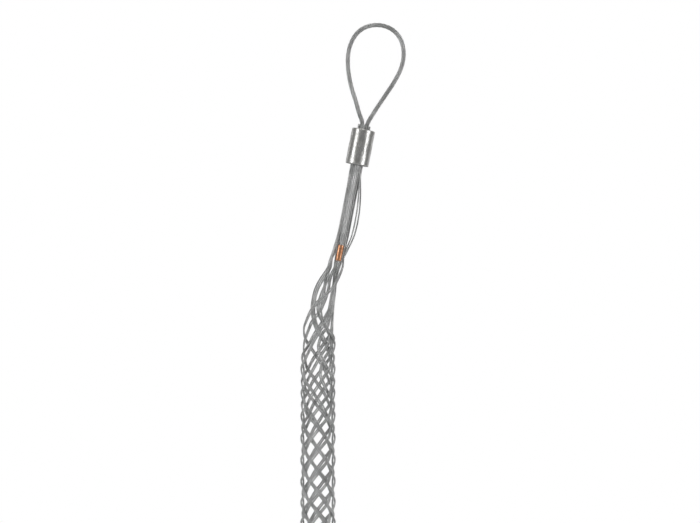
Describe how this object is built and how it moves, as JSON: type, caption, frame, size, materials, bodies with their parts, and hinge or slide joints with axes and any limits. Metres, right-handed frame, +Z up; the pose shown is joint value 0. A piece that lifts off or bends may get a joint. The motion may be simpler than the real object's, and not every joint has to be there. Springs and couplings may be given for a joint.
{
  "type": "wire mesh cable support grip",
  "caption": "Wire-mesh cable support grip: a woven double-strand steel tube, an offset bundled lead with a copper splice sleeve, a swaged metal ferrule and a wire-rope eye.",
  "frame": {"origin": "on the axis of the gripped cable, at the height of the tail end of the mesh, 4 mm above the lowest bends of its wires", "axes": "+Z up along the gripped cable toward the eye, +X from the cable axis toward the lead and the eye, -Y the front"},
  "size_m": [0.0993, 0.0335, 0.5964],
  "materials": {
    "strand": "bright stranded galvanised steel wire",
    "ferrule": "swaged and polished, a little dented",
    "copper": "dull copper with press marks",
    "rope": "bright laid wire rope"
  },
  "bodies": {
    "mesh": {"mesh_wire_01": "strand", "mesh_wire_02": "strand", "mesh_wire_03": "strand", "mesh_wire_04": "strand", "mesh_wire_05": "strand", "mesh_wire_06": "strand", "mesh_wire_07": "strand", "mesh_wire_08": "strand", "mesh_wire_09": "strand", "mesh_wire_10": "strand", "mesh_wire_11": "strand", "mesh_wire_12": "strand", "splice_sleeve": "copper"},
    "lead": {"lead_wire_01": "strand", "lead_wire_02": "strand", "lead_wire_03": "strand", "lead_wire_04": "strand", "lead_wire_05": "strand", "lead_wire_06": "strand", "lead_wire_07": "strand", "lead_wire_08": "strand", "lead_wire_09": "strand", "lead_wire_10": "strand", "lead_wire_11": "strand", "lead_wire_12": "strand", "neck_flex_wires": "strand"},
    "head": {"ferrule": "ferrule", "wire_ends": "strand", "eye_rope_roots": "rope", "head_flex_wires": "strand"},
    "eye": {"eye_rope": "rope"}
  },
  "joints": [
    {"name": "lead_swing", "type": "hinge", "parent": "mesh", "child": "lead", "pos_m": [0.02591, 0, 0.40911], "axis": [0, 1, 0], "range_deg": [-8, 60], "stiffness_Nm_per_rad": 1.5, "deforming": ["neck_flex_wires"]},
    {"name": "head_tilt", "type": "hinge", "parent": "lead", "child": "head", "pos_m": [0.03335, 0, 0.44739], "axis": [0.9816, 0, -0.1908], "range_deg": [-35, 35], "stiffness_Nm_per_rad": 1.5, "deforming": ["head_flex_wires"]},
    {"name": "eye_tilt", "type": "hinge", "parent": "head", "child": "eye", "pos_m": [0.04405, 0, 0.50246], "axis": [0, 1, 0], "range_deg": [-20, 20], "stiffness_Nm_per_rad": 0.6}
  ]
}
